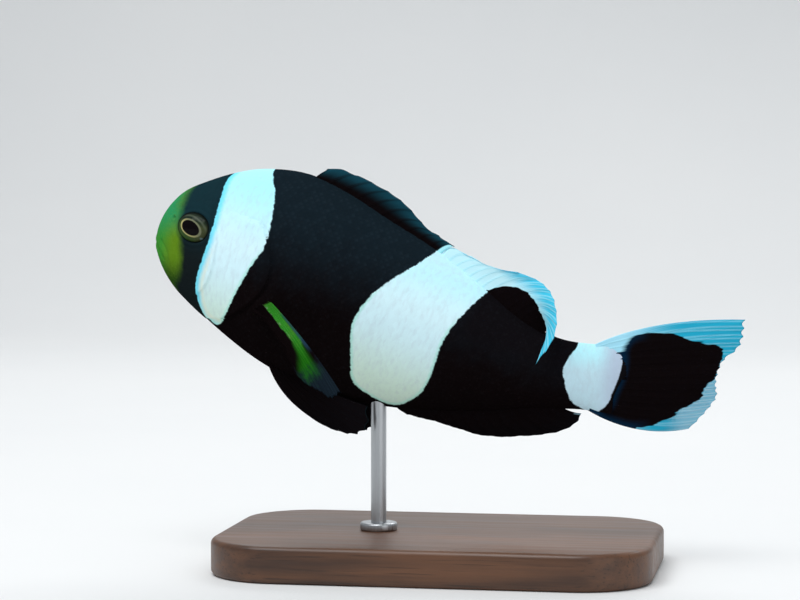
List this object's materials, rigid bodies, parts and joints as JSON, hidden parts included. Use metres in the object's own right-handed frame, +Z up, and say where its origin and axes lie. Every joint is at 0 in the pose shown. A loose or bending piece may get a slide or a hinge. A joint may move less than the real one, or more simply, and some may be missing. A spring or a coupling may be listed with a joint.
{
  "type": "saddleback clownfish model",
  "caption": "Life-size clownfish in a gentle head-up swimming bend, black with white bands and an olive snout, held by a rod on a flat base.",
  "frame": {"origin": "middle of the base's underside, which is the bottom centre of the bounding box", "axes": "+X from head to tail, +Y towards the fish's right side, +Z up"},
  "size_m": [0.1166, 0.054, 0.0769],
  "materials": {
    "skin": "satin, black with white bands and an olive snout",
    "dark_fin": "satin, black",
    "margined_fin": "satin, black with a broad pale margin",
    "green_fin": "satin, green fading to a smoky margin",
    "eye": "clear gloss over a dark iris",
    "rod": "brushed",
    "base": "oiled walnut"
  },
  "bodies": {
    "root": {"head": "skin", "lower_jaw": "skin", "gill_cover_left": "skin", "gill_cover_right": "skin", "trunk": "skin", "tail": "skin", "dorsal_fin_spiny": "dark_fin", "dorsal_fin_soft": "margined_fin", "anal_fin": "dark_fin", "caudal_fin": "margined_fin", "pelvic_fin_left": "dark_fin", "pelvic_fin_right": "dark_fin", "pectoral_fin_left": "green_fin", "pectoral_fin_right": "green_fin", "eye_left": "eye", "eye_right": "eye", "stand_rod": "rod", "stand_base": "base"}
  },
  "joints": []
}
